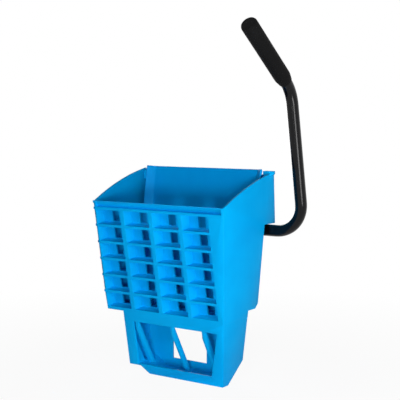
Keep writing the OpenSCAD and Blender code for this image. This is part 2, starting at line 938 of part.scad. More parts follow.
// Outside of the stand
module stand_outside() {
    difference() {
        intersection() {
            along_x(-stand_left, basket_w)
                polygon([
                    [front_y(0), 0],
                    [stand_back, 0],
                    [stand_back, stand_top],
                    [front_y(stand_top), stand_top]
                ]);
            along_y(-far, far)
                polygon([
                    [-stand_left, foot_raise],
                    [-stand_left + foot_raise_l, foot_raise],
                    [-stand_left + foot_raise_l + foot_slope, 0],
                    [right_x(0), 0],
                    [right_x(stand_top), stand_top],
                    [-stand_left, stand_top]
                ]);
        }
        heel_slope(0);
    }
}

// Space inside the stand, open at the top
module stand_space() {
    front_wall = stand_t / cos(front_lean);
    side_wall = stand_t / cos(right_draft);
    top = stand_top + cut;
    floor_z = foot_raise + tray_t;
    difference() {
        intersection() {
            along_x(-stand_left + stand_t, basket_w)
                polygon([
                    [front_y(tray_t) + front_wall, tray_t],
                    [stand_back - stand_t, tray_t],
                    [stand_back - stand_t, top],
                    [front_y(top) + front_wall, top]
                ]);
            along_y(-far, far)
                polygon([
                    [-stand_left + stand_t, floor_z],
                    [-stand_left + foot_raise_l, floor_z],
                    [-stand_left + foot_raise_l + foot_slope, tray_t],
                    [right_x(tray_t) - side_wall, tray_t],
                    [right_x(top) - side_wall, top],
                    [-stand_left + stand_t, top]
                ]);
        }
        heel_slope(tray_t);
    }
}

// Line of a brace's rear face, from the floor up to the head rail
function brace_line() = [
    [stand_back - stand_t - brace_foot, tray_t],
    [front_y(window_top) + stand_t, window_top]
];

// Slanted braces from the head rail down to the floor behind it
module braces() {
    line = brace_line();
    dir = unit(line[1] - line[0]);
    path = [line[0] - brace_d * dir, line[1] + brace_d * dir];
    intersection() {
        stand_outside();
        for (x = [window_left + brace_in, brace_mid, window_right - brace_in])
            along_x(x - brace_w / 2, x + brace_w / 2)
                polygon(wall_outline(path, brace_d));
    }
}

// Three cornered web beside the left leg, ahead of its brace
module leg_web() {
    edge = moved_path(brace_line(), brace_d + web_slot);
    dir = unit(edge[1] - edge[0]);
    right = window_left - web_step;
    intersection() {
        along_x(right - web_t, right)
            polygon([
                edge[0] - far * dir,
                edge[1] + far * dir,
                [-far, -far]
            ]);
        along_x(right - web_t - cut, right + cut)
            polygon([
                [front_y(0) + stand_t / 2, 0],
                [stand_back, 0],
                [stand_back, window_top],
                [front_y(window_top) + stand_t / 2, window_top]
            ]);
        translate([-basket_w, -far, foot_raise + tray_t / 2])
            cube([2 * basket_w, 2 * far, window_top]);
    }
}

// Tabs under the basket floor that the stand's screws go through
module stand_tabs() {
    intersection() {
        stand_outside();
        union() {
            translate([-stand_left, -far, stand_top - tab_t])
                cube([stand_t + tab_w, 2 * far, tab_t]);
            translate([stand_screw_x[1] - tab_w / 2, -far, stand_top - tab_t])
                cube([basket_w, 2 * far, tab_t]);
        }
    }
}

module base_stand() {
    rear_left = -stand_left + rear_strip;
    rear_right = right_x(0) - rear_right_strip;
    rear_top = side_shoulder_z - rear_head;
    color(blue)
        difference() {
            union() {
                difference() {
                    stand_outside();
                    stand_space();
                    along_y(-far, 0)
                        polygon([
                            [window_left, front_sill],
                            [window_right, front_sill],
                            [window_right + window_flare, window_top],
                            [window_left, window_top]
                        ]);
                    along_y(0, far)
                        polygon([
                            [rear_left, rear_sill],
                            [rear_right, rear_sill],
                            [rear_right, rear_top - rear_corner_h],
                            [rear_right - rear_corner_w, rear_top],
                            [rear_left, rear_top]
                        ]);
                }
                braces();
                leg_web();
                stand_tabs();
            }
            at_stand_screws()
                screw_hole(tab_t + cut);
        }
}

// Places of the stand's screws, on the stand's top
module at_stand_screws() {
    for (x = stand_screw_x)
        for (y = stand_screw_y)
            translate([x, y, stand_top])
                children();
}

module stand_screws() {
    color(steel)
        at_stand_screws()
            translate([0, 0, -tab_t])
                rotate([180, 0, 0])
                    screw(tab_t + screw_reach);
}

// Places of the rear cover's screws: on the top rail, then on the back wall
module at_cover_screws() {
    tilt = atan2(hood_in[1], -hood_in[0]);
    top = hood_at(cover_drop + rail_h / 2, 0);
    for (x = [-gear_x, 0, gear_x])
        translate([x, top[0], top[1]])
            rotate([-90 - tilt, 0, 0])
                children();
    for (x = [-ear_x, 0, ear_x])
        translate([x, back_y + cover_t, housing_foot_z - flange_h / 2])
            rotate([-90, 0, 0])
                children();
}

// Outer face of the gear housing, from its foot up to the hood
function housing_path() = [
    [back_y + cover_t, housing_foot_z - flange_h],
    [back_y + cover_t, housing_foot_z],
    [housing_back, tail_z - housing_gap - cover_t],
    [housing_back, shaft_z],
    hood_at(housing_drop, 0)
];

// End walls of the gear housing, open at the front where the tube passes
module housing_end(from) {
    path = housing_path();
    low = path[1];
    high = path[4];
    slot_r = tube_r + pass_gap;
    difference() {
        along_x(from, from + cover_t)
            polygon([
                [back_y, low[1]],
                low,
                path[2],
                path[3],
                high,
                [back_y, high[1]]
            ]);
        bar_x(shaft_y, shaft_z, slot_r, from - cut, from + cover_t + cut);
        translate([from - cut, back_y - cut, shaft_z - slot_r])
            cube([cover_t + 2 * cut, shaft_y - back_y + cut, 2 * slot_r]);
    }
}

module rear_cover() {
    half = housing_w / 2;
    top = mouth_z + mouth_rise;
    color(blue)
        difference() {
            union() {
                difference() {
                    intersection() {
                        along_x(cover_left, basket_w)
                            polygon(wall_outline([hood_at(hood_len, 0), hood_at(cover_drop, 0)], cover_t));
                        along_y(-far, far)
                            polygon([
                                [cover_left, 0],
                                [right_inner(0) - cover_gap, 0],
                                [right_inner(top) - cover_gap, top],
                                [cover_left, top]
                            ]);
                    }
                    translate([cover_t - half, 0, 0])
                        cube([housing_w - 2 * cover_t, far, housing_top_z - cover_t]);
                }
                along_x(-half, half)
                    polygon(wall_outline(housing_path(), cover_t));
                housing_end(-half);
                housing_end(half - cover_t);
            }
            at_cover_screws()
                screw_hole(cover_t + wall_t);
        }
}

module cover_screws() {
    color(steel)
        at_cover_screws()
            screw(cover_t + wall_t);
}

// Places of the bearing blocks' screws, on the blocks' feet
module at_bearing_screws() {
    for (side = [-1, 1])
        for (up = [-1, 1])
            translate([side * bearing_x, back_y + bearing_foot_t, shaft_z + up * bearing_screw_z])
                rotate([-90, 0, 0])
                    children();
}

// Bearing block on the back wall
module bearing(x) {
    color(blue)
        difference() {
            along_x(x - bearing_w / 2, x + bearing_w / 2) {
                translate([back_y, shaft_z - bearing_foot])
                    square([bearing_foot_t, 2 * bearing_foot]);
                translate([back_y, shaft_z - bearing_r])
                    square([shaft_y - back_y, 2 * bearing_r]);
                translate([shaft_y, shaft_z])
                    circle(bearing_r);
            }
            bar_x(shaft_y, shaft_z, bush_r + seat_gap, x - bearing_w, x + bearing_w);
            at_bearing_screws()
                screw_hole(bearing_foot_t + cut);
        }
}

module left_bearing() {
    bearing(-bearing_x);
}

module right_bearing() {
    bearing(bearing_x);
}

module bearing_screws() {
    color(steel)
        at_bearing_screws()
            screw(bearing_foot_t + wall_t);
}

// Flanged bush in a bearing block, its flange on the side given
module bush(x, side) {
    face = x + side * bearing_w / 2;
    color(nylon)
        difference() {
            union() {
                bar_x(shaft_y, shaft_z, bush_r, x - bearing_w / 2, x + bearing_w / 2);
                bar_x(
                    shaft_y, shaft_z, bush_r + bush_flange_w,
                    min(face, face + side * bush_flange_t), max(face, face + side * bush_flange_t)
                );
            }
            bar_x(shaft_y, shaft_z, tube_r + run_gap, x - bearing_w, x + bearing_w);
        }
}

module left_bush() {
    bush(-bearing_x, -1);
}

module right_bush() {
    bush(bearing_x, 1);
}

module hinge_rod() {
    color(steel)
        bar_x(hinge_y, hinge_z, rod_d / 2, left_face - cap_grip, rod_end());
}

module hinge_cap() {
    color(black)
        difference() {
            bar_x(hinge_y, hinge_z, cap_d / 2, left_face - cap_grip - cap_t, left_face);
            bar_x(hinge_y, hinge_z, rod_d / 2 + seat_gap, left_face - cap_grip, left_face + cut);
        }
}

// Stems of the bumpers, in the top rail
module bumper_stems(gap) {
    for (side = [-1, 1])
        translate([side * bumper_x, rail_front + rail_d - cut, bumper_z])
            rotate([90, 0, 0])
                cylinder(r = bumper_d / 4 + gap, h = rail_d);
}

module rest_bumpers() {
    centre_y = rest_y + (bumper_r + rest_gap) / cos(plate_lean);
    color(rubber) {
        for (side = [-1, 1])
            intersection() {
                translate([side * bumper_x, centre_y, bumper_z])
                    sphere(bumper_r);
                translate([side * bumper_x, rail_front, bumper_z])
                    rotate([90, 0, 0])
                        cylinder(d = bumper_d, h = far);
            }
        bumper_stems(0);
    }
}

// Round bar that follows the handle's bends, longer at both ends by a distance
module handle_bar(r, over) {
    bend_x = upright_x - low_bend_r;
    translate([0, shaft_y, shaft_z])
        rotate([upright_lean, 0, 0]) {
            bar_x(0, 0, r, tube_start - over, bend_x);
            translate([bend_x, 0, low_bend_r])
                rotate([90, 0, 0])
                    rotate([0, 0, -90])
                        rotate_extrude(angle = 90)
                            translate([low_bend_r, 0])
                                circle(r);
            translate([upright_x, 0, low_bend_r])
                cylinder(r = r, h = upright_l);
            translate([upright_x, -top_bend_r, low_bend_r + upright_l])
                rotate([90, 0, 90])
                    rotate_extrude(angle = top_bend)
                        translate([top_bend_r, 0])
                            circle(r);
        }
    on_grip()
        translate([0, 0, top_tangent - swage_l])
            cylinder(r = r - swage, h = grip_len - grip_end_t + swage_l + over);
}

// Frame at the upper bend's corner, Z along the grip
module on_grip() {
    translate([
        upright_x,
        shaft_y - upright_len * sin(upright_lean),
        shaft_z + upright_len * cos(upright_lean)
    ])
        rotate([grip_lean, 0, 0])
            children();
}

// Places of the pinions' cross pins, on the tube's axis
module at_pins() {
    for (side = [-1, 1])
        translate([side * (gear_x + (pinion_t + hub_l) / 2), shaft_y, shaft_z])
            children();
}

// Cross pins, wider by a gap and longer by a distance
module cross_pins(gap, over) {
    half = tube_r + seat_gap + hub_t + over;
    at_pins()
        translate([0, 0, -half])
            cylinder(r = pin_d / 2 + gap, h = 2 * half);
}

module handle_tube() {
    color(black)
        difference() {
            handle_bar(tube_r, 0);
            handle_bar(tube_bore_r, cut);
            cross_pins(seat_gap, cut);
        }
}

module hand_grip() {
    color(rubber)
        on_grip()
            translate([0, 0, top_tangent])
                difference() {
                    rotate_extrude() {
                        polygon([
                            [0, 0],
                            [grip_neck_d / 2, 0],
                            [grip_d / 2, grip_taper_l],
                            [grip_d / 2, grip_len - grip_round],
                            [0, grip_len - grip_round]
                        ]);
                        square([grip_d / 2 - grip_round, grip_len]);
                        translate([grip_d / 2 - grip_round, grip_len - grip_round])
                            intersection() {
                                circle(grip_round);
                                square(grip_round);
                            }
                    }
                    translate([0, 0, -cut])
                        cylinder(r = tube_r - swage + seat_gap, h = grip_len - grip_end_t + cut);
                }
}

module tube_plug() {
    color(black)
        union() {
            bar_x(shaft_y, shaft_z, tube_bore_r - seat_gap, tube_start - cut, tube_start + plug_l);
            bar_x(shaft_y, shaft_z, tube_r, tube_start - plug_t, tube_start);
        }
}

// Pinion on the tube with a hub on its outer side
module pinion(side) {
    x = side * gear_x;
    hub_start = x + side * pinion_t / 2;
    hub_end = hub_start + side * hub_l;
    axis = [shaft_y, shaft_z];
    step = 360 / pinion_teeth;
    color(steel)
        difference() {
            union() {
                along_x(x - pinion_t / 2, x + pinion_t / 2)
                    polygon(joined([
                        for (i = [0 : pinion_teeth - 1])
                            tooth(axis, pinion_r, pinion_teeth, mesh_lean + 180 + i * step)
                    ]));
                bar_x(
                    shaft_y, shaft_z, tube_r + seat_gap + hub_t,
                    min(hub_start, hub_end), max(hub_start, hub_end)
                );
            }
            bar_x(shaft_y, shaft_z, tube_r + seat_gap, x - hub_l - pinion_t, x + hub_l + pinion_t);
            cross_pins(seat_gap, cut);
        }
}

module left_pinion() {
    pinion(-1);
}

module right_pinion() {
    pinion(1);
}

module pinion_pins() {
    color(steel)
        cross_pins(0, 0);
}

// Set screws in the collars, wider by a gap
module set_screws(gap) {
    for (x = [collar_out_x, collar_in_x])
        translate([x + collar_w / 2, shaft_y, shaft_z + tube_r])
            cylinder(r = set_screw_d / 2 + gap, h = collar_t + seat_gap);
}

module shaft_collars() {
    color(steel)
        difference() {
            for (x = [collar_out_x, collar_in_x])
                bar_x(shaft_y, shaft_z, collar_r, x, x + collar_w);
            bar_x(shaft_y, shaft_z, tube_r + seat_gap, -basket_w, basket_w);
            set_screws(seat_gap);
        }
}

module collar_screws() {
    color(black)
        set_screws(0);
}

// Press plate's main face between its two fold lines, longer than the plate
module plate_face() {
    low = plate_foot - wing_w;
    high = plate_h + wing_w;
    along_y(plate_front, plate_back)
        polygon([
            [fold_left(), low],
            [fold_right(low), low],
            [fold_right(high), high],
            [fold_left(), high]
        ]);
}

// Fold lines between the press plate's face and its wings, along X
function fold_left() = left_inner + left_fold_in;
function fold_right(up) = right_inner(hinge_z + up * cos(plate_lean)) - right_fold_in;

// Side wings, turned towards the front about their fold lines, longer than the plate
module plate_wings() {
    long = plate_h - plate_foot;
    tilt = atan2(fold_right(plate_h) - fold_right(plate_foot), long);
    translate([fold_left(), plate_back - fold_step, plate_foot])
        rotate([0, 0, wing_turn])
            translate([-wing_w, -plate_t, -wing_w])
                cube([wing_w + cut, plate_t, long + 2 * wing_w]);
    translate([fold_right(plate_foot), plate_back - fold_step, plate_foot])
        rotate([0, tilt, 0])
            rotate([0, 0, -wing_turn])
                translate([-cut, -plate_t, -wing_w])
                    cube([wing_w + cut, plate_t, long / cos(tilt) + 2 * wing_w]);
}

// Outline that cuts the plate and its wings to length, with cut top corners
module plate_limit() {
    left = fold_left() - wing_w;
    right = fold_right(plate_h) + wing_w;
    along_y(-far, far)
        polygon([
            [left, plate_foot],
            [right, plate_foot],
            [right, plate_h - plate_corner],
            [right - plate_corner, plate_h],
            [left + plate_corner, plate_h],
            [left, plate_h - plate_corner]
        ]);
}

// Stiffening ribs behind the press plate
module plate_ribs() {
    for (x = [-knuckle_x, 0, knuckle_x])
        translate([x - plate_rib_w / 2, plate_back - cut, 0])
            cube([plate_rib_w, plate_rib_d + cut, plate_rib_l]);
}

// Notch in the press plate's lower edge, round a boss of a width and diameter on the hinge
module plate_notch(x, boss_w, boss_d) {
    wide = boss_w + 2 * pass_gap;
    on_plate()
        translate([x - wide / 2, plate_front - cut, plate_foot - cut])
            cube([wide, plate_t + 2 * cut, boss_d / 2 + pass_gap - plate_foot + cut]);
}

module press_plate() {
    color(blue)
        difference() {
            union() {
                on_plate() {
                    intersection() {
                        union() {
                            plate_face();
                            plate_wings();
                        }
                        plate_limit();
                    }
                    plate_ribs();
                }
                for (x = [-knuckle_x, 0, knuckle_x])
                    bar_x(hinge_y, hinge_z, knuckle_d / 2, x - knuckle_l / 2, x + knuckle_l / 2);
                on_plate()
                    for (x = [-knuckle_x, 0, knuckle_x])
                        translate([x - knuckle_l / 2 + cut, plate_back - cut, -knuckle_d / 4])
                            cube([knuckle_l - 2 * cut, cut - plate_back, knuckle_d / 2]);
            }
            bar_x(hinge_y, hinge_z, hinge_bush_r + seat_gap, -basket_w, basket_w);
            for (side = [-1, 1]) {
                plate_notch(side * gear_x, sector_t, sector_boss_d);
                plate_notch(side * ear_x, ear_t, knuckle_d);
            }
            at_sector_screws()
                screw_hole(plate_t + foot_t + cut);
            at_sector_screws()
                countersink(seat_gap);
        }
}

// Places of the sectors' screws, on the press plate's front face
module at_sector_screws() {
    for (side = [-1, 1])
        for (up = [foot_z + screw_d * 2, foot_z + foot_l - screw_d * 2])
            for (across = [-1, 1])
                on_plate()
                    translate([side * gear_x + across * (foot_w / 2 - screw_d), plate_front, up])
                        rotate([90, 0, 0])
                            children();
}

// Countersunk head, its face flush with the plate
module countersink(gap) {
    translate([0, 0, -screw_head_h])
        cylinder(r1 = screw_r + gap, r2 = screw_head_r + gap, h = screw_head_h);
}

module sector_screws() {
    color(steel)
        at_sector_screws() {
            countersink(0);
            translate([0, 0, -plate_t - foot_t])
                cylinder(r = screw_r, h = plate_t + foot_t - screw_head_h);
        }
}

// Toothed sector on the press plate's back
module sector(side) {
    x = side * gear_x;
    hinge = [hinge_y, hinge_z];
    web_lean = (mesh_lean + tail_lean) / 2;
    color(steel)
        difference() {
            union() {
                along_x(x - sector_t / 2, x + sector_t / 2)
                    polygon(concat(
                        [hinge, leaning(hinge, sector_root, plate_lean - web_lead)],
                        joined([
                            for (i = [-teeth_ahead : teeth_behind - 1])
                                tooth(hinge, sector_r, sector_teeth, mesh_lean + (i + 0.5) * tooth_step)
                        ]),
                        [leaning(hinge, sector_root, tail_lean)]
                    ));
                bar_x(hinge_y, hinge_z, sector_boss_d / 2, x - sector_t / 2, x + sector_t / 2);
                on_plate()
                    translate([x - foot_w / 2, plate_back, foot_z])
                        cube([foot_w, foot_t, foot_l]);
            }
            bar_x(hinge_y, hinge_z, rod_d / 2 + run_gap, x - sector_t, x + sector_t);
            bar_x(
                leaning(hinge, sector_r * 0.66, web_lean)[0],
                leaning(hinge, sector_r * 0.66, web_lean)[1],
                web_hole_d / 2, x - sector_t, x + sector_t
            );
            at_sector_screws()
                screw_hole(plate_t + foot_t + cut);
        }
}

module left_sector() {
    sector(-1);
}

module right_sector() {
    sector(1);
}

module plate_bushes() {
    color(nylon)
        for (x = [-knuckle_x, 0, knuckle_x])
            difference() {
                bar_x(hinge_y, hinge_z, hinge_bush_r, x - knuckle_l / 2, x + knuckle_l / 2);
                bar_x(hinge_y, hinge_z, rod_d / 2 + run_gap, x - knuckle_l, x + knuckle_l);
            }
}

basket_shell();
base_stand();
stand_screws();
rear_cover();
cover_screws();
left_bearing();
right_bearing();
bearing_screws();
left_bush();
right_bush();
hinge_rod();
hinge_cap();
rest_bumpers();
handle_tube();
hand_grip();
tube_plug();
left_pinion();
right_pinion();
pinion_pins();
shaft_collars();
collar_screws();
press_plate();
left_sector();
right_sector();
sector_screws();
plate_bushes();
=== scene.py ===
import json
import math
import bmesh
import bpy
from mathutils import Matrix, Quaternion, Vector


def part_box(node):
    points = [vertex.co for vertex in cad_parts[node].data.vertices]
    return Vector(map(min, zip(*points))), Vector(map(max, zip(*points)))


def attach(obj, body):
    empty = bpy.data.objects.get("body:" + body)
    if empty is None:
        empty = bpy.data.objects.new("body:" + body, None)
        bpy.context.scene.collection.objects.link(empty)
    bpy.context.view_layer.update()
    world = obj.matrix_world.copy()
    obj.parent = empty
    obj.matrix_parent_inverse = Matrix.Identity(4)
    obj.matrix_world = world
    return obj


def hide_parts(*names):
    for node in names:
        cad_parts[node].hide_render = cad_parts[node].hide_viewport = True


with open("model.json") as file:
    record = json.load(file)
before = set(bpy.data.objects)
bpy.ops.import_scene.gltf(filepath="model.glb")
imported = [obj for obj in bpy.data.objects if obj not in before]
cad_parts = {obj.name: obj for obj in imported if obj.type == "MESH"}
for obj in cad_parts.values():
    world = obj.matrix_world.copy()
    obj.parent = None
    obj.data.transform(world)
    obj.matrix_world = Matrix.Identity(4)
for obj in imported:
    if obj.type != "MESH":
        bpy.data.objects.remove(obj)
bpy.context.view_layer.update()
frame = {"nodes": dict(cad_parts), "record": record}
nodes = frame["nodes"]
scene = bpy.context.scene
scene.view_settings.view_transform = "Standard"
print("frame loaded,", len(nodes), "nodes")

# camera, at the photograph's angle
cameraSet = {
    "place": (1.04217, -1.45751, 0.49461),
    "azimuth": 34.56,
    "drop": 4.88,
    "lens": 84.68,
}
bpy.ops.object.camera_add(
    location=cameraSet["place"],
    rotation=(math.radians(90 - cameraSet["drop"]), 0, math.radians(cameraSet["azimuth"])),
)
camera = bpy.context.object
camera.name = "photoCamera"
camera.data.lens = cameraSet["lens"]
camera.data.sensor_width = 36
camera.data.clip_end = 50
scene.camera = camera
print("camera placed")


# small helpers for working as by hand
mergeReach = 0.00001


def onlySelect(piece):
    bpy.ops.object.select_all(action="DESELECT")
    piece.select_set(True)
    bpy.context.view_layer.objects.active = piece


def openMesh(piece):
    onlySelect(piece)
    bpy.ops.object.mode_set(mode="EDIT")
    bpy.ops.mesh.select_mode(type="VERT")
    bpy.ops.mesh.select_all(action="DESELECT")


def closeMesh():
    bpy.ops.object.mode_set(mode="OBJECT")


def pickEdges(piece, wanted):
    bpy.ops.mesh.select_mode(type="EDGE")
    bpy.ops.mesh.select_all(action="DESELECT")
    mesh = bmesh.from_edit_mesh(piece.data)
    count = 0
    for edge in mesh.edges:
        if wanted(edge):
            edge.select_set(True)
            count += 1
    bmesh.update_edit_mesh(piece.data)
    return count


def dropFlaps(piece):  # a bevel can leave a flap of one face on a closed shape
    pickEdges(piece, lambda edge: len(edge.link_faces) == 1)
    bpy.ops.mesh.select_mode(type="FACE", use_expand=True)
    bpy.ops.mesh.delete(type="FACE")


def smoothBy(piece, degrees):
    onlySelect(piece)
    bpy.ops.object.shade_smooth_by_angle(angle=math.radians(degrees))


def settle(piece):  # place and turn go into the mesh
    onlySelect(piece)
    bpy.ops.object.transform_apply(location=True, rotation=True, scale=True)


def finishPiece(piece, body, nodeName, finish):
    piece.data.materials.clear()
    piece.data.materials.append(finish)
    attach(piece, body)
    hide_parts(nodeName)


def mergedCopy(nodeName, pieceName):  # a node's copy with its loose triangles joined, left open for editing
    piece = bpy.data.objects.new(pieceName, nodes[nodeName].data.copy())
    piece.data.name = pieceName
    scene.collection.objects.link(piece)
    onlySelect(piece)
    bpy.ops.mesh.customdata_custom_splitnormals_clear()
    openMesh(piece)
    bpy.ops.mesh.select_all(action="SELECT")
    bpy.ops.mesh.remove_doubles(threshold=mergeReach)
    return piece


# shader maths on sockets

class Wire:
    def __init__(self, sheet, socket):
        self.sheet = sheet
        self.socket = socket

    def maths(self, operation, first, second):
        return self.sheet.add("ShaderNodeMath", {"operation": operation}, {0: first, 1: second})

    def __add__(self, other):
        return self.maths("ADD", self, other)

    __radd__ = __add__

    def __sub__(self, other):
        return self.maths("SUBTRACT", self, other)

    def __rsub__(self, other):
        return self.maths("SUBTRACT", other, self)

    def __mul__(self, other):
        return self.maths("MULTIPLY", self, other)

    __rmul__ = __mul__

    def __gt__(self, other):
        return self.maths("GREATER_THAN", self, other)


class Finish:  # one node tree, filled node by node
    def __init__(self, owner):
        owner.use_nodes = True
        self.owner = owner
        self.tree = owner.node_tree
        self.tree.nodes.clear()

    def add(self, kind, settings, sockets, out=0):
        node = self.tree.nodes.new(kind)
        for key, value in settings.items():
            if key == "stops":
                ramp = node.color_ramp
                while len(ramp.elements) < len(value):
                    ramp.elements.new(0.5)
                for element, (place, shade) in zip(ramp.elements, value):
                    element.position = place
                    element.color = (shade, shade, shade, 1)
            else:
                setattr(node, key, value)
        for key, value in sockets.items():
            socket = node.inputs[key]
            if isinstance(value, Wire):
                self.tree.links.new(value.socket, socket)
            else:
                socket.default_value = value
        return Wire(self, node.outputs[out] if node.outputs else None)

    def place(self):
        return self.add("ShaderNodeTexCoord", {}, {}, "Object")

    def stretched(self, scale):
        return self.add("ShaderNodeMapping", {}, {"Vector": self.place(), "Scale": scale})

    def noise(self, scale, detail=2.0, rough=0.5, where=None):
        return self.add(
            "ShaderNodeTexNoise", {},
            {"Vector": where or self.place(), "Scale": scale, "Detail": detail, "Roughness": rough},
        )

    def ramp(self, value, stops):
        return self.add("ShaderNodeValToRGB", {"stops": stops}, {"Fac": value})

    def blend(self, factor, first, second):
        return self.add(
            "ShaderNodeMix", {"data_type": "RGBA", "clamp_factor": True},
            {0: factor, 6: first, 7: second}, 2,
        )

    def bump(self, height, strength, distance):
        return self.add(
            "ShaderNodeBump", {},
            {"Height": height, "Strength": strength, "Distance": distance},
        )

    def surface(self, sockets):
        shader = self.add("ShaderNodeBsdfPrincipled", {}, sockets)
        self.add("ShaderNodeOutputMaterial", {}, {"Surface": shader})
        return self.owner

    def seenDirectly(self):  # 1 for what the camera sees straight, in gloss or through glass
        rays = ("Is Camera Ray", "Is Glossy Ray", "Is Transmission Ray")
        straight, gloss, through = [self.add("ShaderNodeLightPath", {}, {}, ray) for ray in rays]
        return (straight + gloss + through) > 0.5


def newFinish(name):
    return Finish(bpy.data.materials.new(name))


def colour(red, green, blue):  # screen values 0 to 255, made linear
    def linear(value):
        value /= 255
        return value / 12.92 if value <= 0.04045 else ((value + 0.055) / 1.055) ** 2.4
    return (linear(red), linear(green), linear(blue), 1)


bluePlasticSet = {
    "base": colour(0, 163, 229),
    "deep": colour(0, 153, 221),
    "rubbed": colour(14, 174, 235),
    "rough": 0.45,
    "gloss": 0.04,
}
plateShadeBlueSet = {  # the press plate reads a little deeper: a darker copy of the blue plastic, painted shade for the plate in the basket's shaded mouth
    "base": colour(0, 154, 229),
    "deep": colour(0, 145, 222),
    "rubbed": colour(10, 164, 235),
    "rough": 0.45,
    "gloss": 0.04,
}


def makeBluePlastic(name, s):
    f = newFinish(name)
    flow = f.noise(9, 3, 0.55)                                  # slow drift of the colour in the mould
    grain = f.noise(1500, 2, 0.6)                               # fine moulded grain
    scuffs = f.noise(60, 5, 0.7, f.stretched((1.0, 1.0, 0.12)))  # faint upright rub marks
    rubbed = f.ramp(scuffs, [(0.60, 0.0), (0.78, 1.0)])
    base = f.blend(f.ramp(flow, [(0.35, 0.0), (0.7, 1.0)]), s["base"], s["deep"])
    base = f.blend(rubbed * 0.25, base, s["rubbed"])
    roughness = s["rough"] + (flow - 0.5) * 0.12 + rubbed * 0.10 + (grain - 0.5) * 0.08
    height = grain * 0.6 + scuffs * 0.4
    return f.surface({
        "Base Color": base, "Roughness": roughness, "Specular IOR Level": s["gloss"],
        "Normal": f.bump(height, 0.12, 0.0004),
    })


blackTubeSet = {"base": colour(6, 6, 8), "chip": colour(52, 52, 56), "rough": 0.15, "gloss": 0.2}


def makeBlackTube():
    f = newFinish("blackTube")
    s = blackTubeSet
    peel = f.noise(300, 2, 0.5)                                 # orange peel of the coating
    cloud = f.noise(14, 3, 0.5)
    nicks = f.ramp(f.noise(160, 6, 0.75), [(0.70, 0.0), (0.76, 1.0)])
    base = f.blend(nicks * 0.35, s["base"], s["chip"])
    return f.surface({
        "Base Color": base, "Roughness": s["rough"] + (cloud - 0.5) * 0.14 + nicks * 0.2,
        "Specular IOR Level": s["gloss"], "Normal": f.bump(peel, 0.05, 0.0004),
    })


gripSet = {"base": colour(11, 11, 12), "dusty": colour(22, 22, 23), "rough": 0.72, "gloss": 0.08}


def makeGripRubber(name, s):
    f = newFinish(name)
    grain = f.noise(1100, 3, 0.65)
    patch = f.noise(30, 4, 0.6)
    dust = f.ramp(patch, [(0.48, 0.0), (0.72, 1.0)])
    base = f.blend(dust * 0.45, s["base"], s["dusty"])
    return f.surface({
        "Base Color": base, "Roughness": s["rough"] + (patch - 0.5) * 0.2,
        "Specular IOR Level": s["gloss"], "Normal": f.bump(grain, 0.25, 0.0005),
    })


platedSteelSet = {
    "base": colour(196, 198, 202), "dark": colour(160, 164, 170), "rough": 0.32, "lines": (1, 1, 1),
}
cutSteelSet = {
    "base": colour(160, 162, 166), "dark": colour(120, 122, 126), "rough": 0.36, "lines": (0.1, 1, 1),
}
blackenedSteelSet = {
    "base": colour(40, 40, 42), "dark": colour(26, 26, 27), "rough": 0.45, "lines": (1, 1, 1),
}


def makeSteel(name, s):  # plated or cut steel with fine tool lines
    f = newFinish(name)
    cloud = f.noise(55, 4, 0.6)
    marks = f.noise(700, 3, 0.6, f.stretched(s["lines"]))
    tone = f.blend(f.ramp(cloud, [(0.38, 0.0), (0.7, 1.0)]), s["base"], s["dark"])
    return f.surface({
        "Base Color": tone, "Metallic": 1.0,
        "Roughness": s["rough"] + (cloud - 0.5) * 0.2 + (marks - 0.5) * 0.12,
        "Normal": f.bump(marks, 0.12, 0.0003),
    })


blackFittingSet = {"base": colour(22, 22, 23), "aged": colour(38, 38, 39), "rough": 0.5}
nylonBushSet = {"base": colour(226, 222, 206), "aged": colour(205, 198, 176), "rough": 0.45}


def makePlainPlastic(name, s):  # nylon and black plastic fittings
    f = newFinish(name)
    cloud = f.noise(40, 3, 0.55)
    grain = f.noise(1300, 2, 0.6)
    tone = f.blend(f.ramp(cloud, [(0.4, 0.0), (0.72, 1.0)]), s["base"], s["aged"])
    return f.surface({
        "Base Color": tone, "Roughness": s["rough"] + (cloud - 0.5) * 0.16 + (grain - 0.5) * 0.08,
        "Normal": f.bump(grain, 0.12, 0.0004),
    })


finishes = {
    "blue_plastic": makeBluePlastic("bluePlastic", bluePlasticSet),
    "black_tube": makeBlackTube(),
    "grip": makeGripRubber("gripRubber", gripSet),
    "rubber": makeGripRubber("bumperRubber", gripSet),
    "black_plastic": makePlainPlastic("blackFitting", blackFittingSet),
    "nylon": makePlainPlastic("nylonBush", nylonBushSet),
    "bare_steel": makeSteel("platedSteel", platedSteelSet),
    "gear_steel": makeSteel("cutSteel", cutSteelSet),
    "black_steel": makeSteel("blackenedSteel", blackenedSteelSet),
}
# painted shade: the press plate takes a darker copy of the blue plastic, standing in for the shade inside
# the basket
plateShadeBlue = makeBluePlastic("plateShadeBlue", plateShadeBlueSet)
for part in frame["record"]["subparts"]:
    node = nodes[part["node"]]
    node.data.materials.clear()
    finish = plateShadeBlue if part["node"] == "press_plate" else finishes[part["material_slot"]]
    node.data.materials.append(finish)
print("finishes made,", len(finishes) + 1)

# moulded pieces: the CAD shapes with their edges eased as a mould eases them, save along the stand's seam
easeSet = {
    "seamHeight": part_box("base_stand")[1][2], "seamReach": 0.0004,
    "segments": 2, "sliver": 0.000001, "smooth": 38,
}
mouldings = {
    "basketBody": {"node": "basket_shell", "body": "frame", "ease": 0.0008, "sharp": 40, "shortest": 0.003},
    "standBody": {"node": "base_stand", "body": "frame", "ease": 0.0014, "sharp": 40, "shortest": 0.004},
    "pressFace": {"node": "press_plate", "body": "press", "ease": 0.001, "sharp": 40, "shortest": 0.004},
    "coverShell": {"node": "rear_cover", "body": "frame", "ease": 0.001, "sharp": 25, "shortest": 0.004},
    "leftBlock": {"node": "left_bearing", "body": "frame", "ease": 0.0008, "sharp": 40, "shortest": 0.004},
    "rightBlock": {"node": "right_bearing", "body": "frame", "ease": 0.0008, "sharp": 40, "shortest": 0.004},
}


